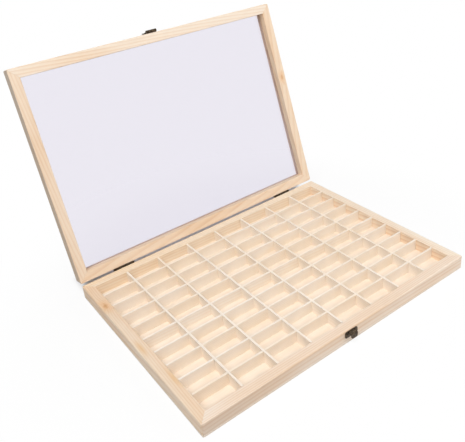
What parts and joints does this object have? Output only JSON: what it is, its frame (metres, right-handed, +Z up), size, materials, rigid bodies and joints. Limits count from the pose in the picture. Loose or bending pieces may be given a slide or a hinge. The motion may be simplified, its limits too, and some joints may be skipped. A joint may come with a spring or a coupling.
{
  "type": "film display box",
  "caption": "Shallow pine tray divided into cells for film cartridges, with a framed clear lid on two stop hinges and a hasp that drops over a catch.",
  "frame": {"origin": "middle of the tray's underside", "axes": "+X along the front of the box, +Y from the catch at the front to the hinges at the back, +Z up"},
  "size_m": [0.459, 0.4524, 0.3397],
  "materials": {
    "pine_board": "bare sanded pine, pale cream with faint golden grain",
    "pine_divider": "thin bare sanded pine strip, cream",
    "plywood": "bare sanded plywood, golden tan",
    "clear_sheet": "clear polished acrylic sheet",
    "aged_bronze": "steel plated in dark antique bronze, rubbed lighter on its edges"
  },
  "bodies": {
    "tray": {"tray_base": "plywood", "tray_rail_front": "pine_board", "tray_rail_back": "pine_board", "tray_rail_left": "pine_board", "tray_rail_right": "pine_board", "row_divider_1": "pine_divider", "row_divider_2": "pine_divider", "row_divider_3": "pine_divider", "row_divider_4": "pine_divider", "row_divider_5": "pine_divider", "row_divider_6": "pine_divider", "row_divider_7": "pine_divider", "row_divider_8": "pine_divider", "row_divider_9": "pine_divider", "column_divider_1": "pine_divider", "column_divider_2": "pine_divider", "column_divider_3": "pine_divider", "column_divider_4": "pine_divider", "column_divider_5": "pine_divider", "column_divider_6": "pine_divider", "column_divider_7": "pine_divider", "catch_hook": "aged_bronze", "catch_screw_left": "aged_bronze", "catch_screw_right": "aged_bronze", "hinge_left_tray_leaf": "aged_bronze", "hinge_left_pin": "aged_bronze", "hinge_left_tray_screw_1": "aged_bronze", "hinge_left_tray_screw_2": "aged_bronze", "hinge_right_tray_leaf": "aged_bronze", "hinge_right_pin": "aged_bronze", "hinge_right_tray_screw_1": "aged_bronze", "hinge_right_tray_screw_2": "aged_bronze"},
    "lid": {"lid_rail_front": "pine_board", "lid_rail_back": "pine_board", "lid_rail_left": "pine_board", "lid_rail_right": "pine_board", "window_pane": "clear_sheet", "hasp_plate": "aged_bronze", "hasp_pin": "aged_bronze", "hasp_screw_left": "aged_bronze", "hasp_screw_right": "aged_bronze", "hinge_left_lid_leaf": "aged_bronze", "hinge_left_lid_screw_1": "aged_bronze", "hinge_left_lid_screw_2": "aged_bronze", "hinge_right_lid_leaf": "aged_bronze", "hinge_right_lid_screw_1": "aged_bronze", "hinge_right_lid_screw_2": "aged_bronze"},
    "tongue": {"hasp_tongue": "aged_bronze"}
  },
  "joints": [
    {"name": "lid_hinge", "type": "hinge", "parent": "tray", "child": "lid", "pos_m": [0, 0.1652, 0.0212], "axis": [1, 0, 0], "range_deg": [0, 107]},
    {"name": "tongue_hinge", "type": "hinge", "parent": "lid", "child": "tongue", "pos_m": [0, 0.26502, 0.33743], "axis": [1, 0, 0], "range_deg": [0, 179]}
  ]
}
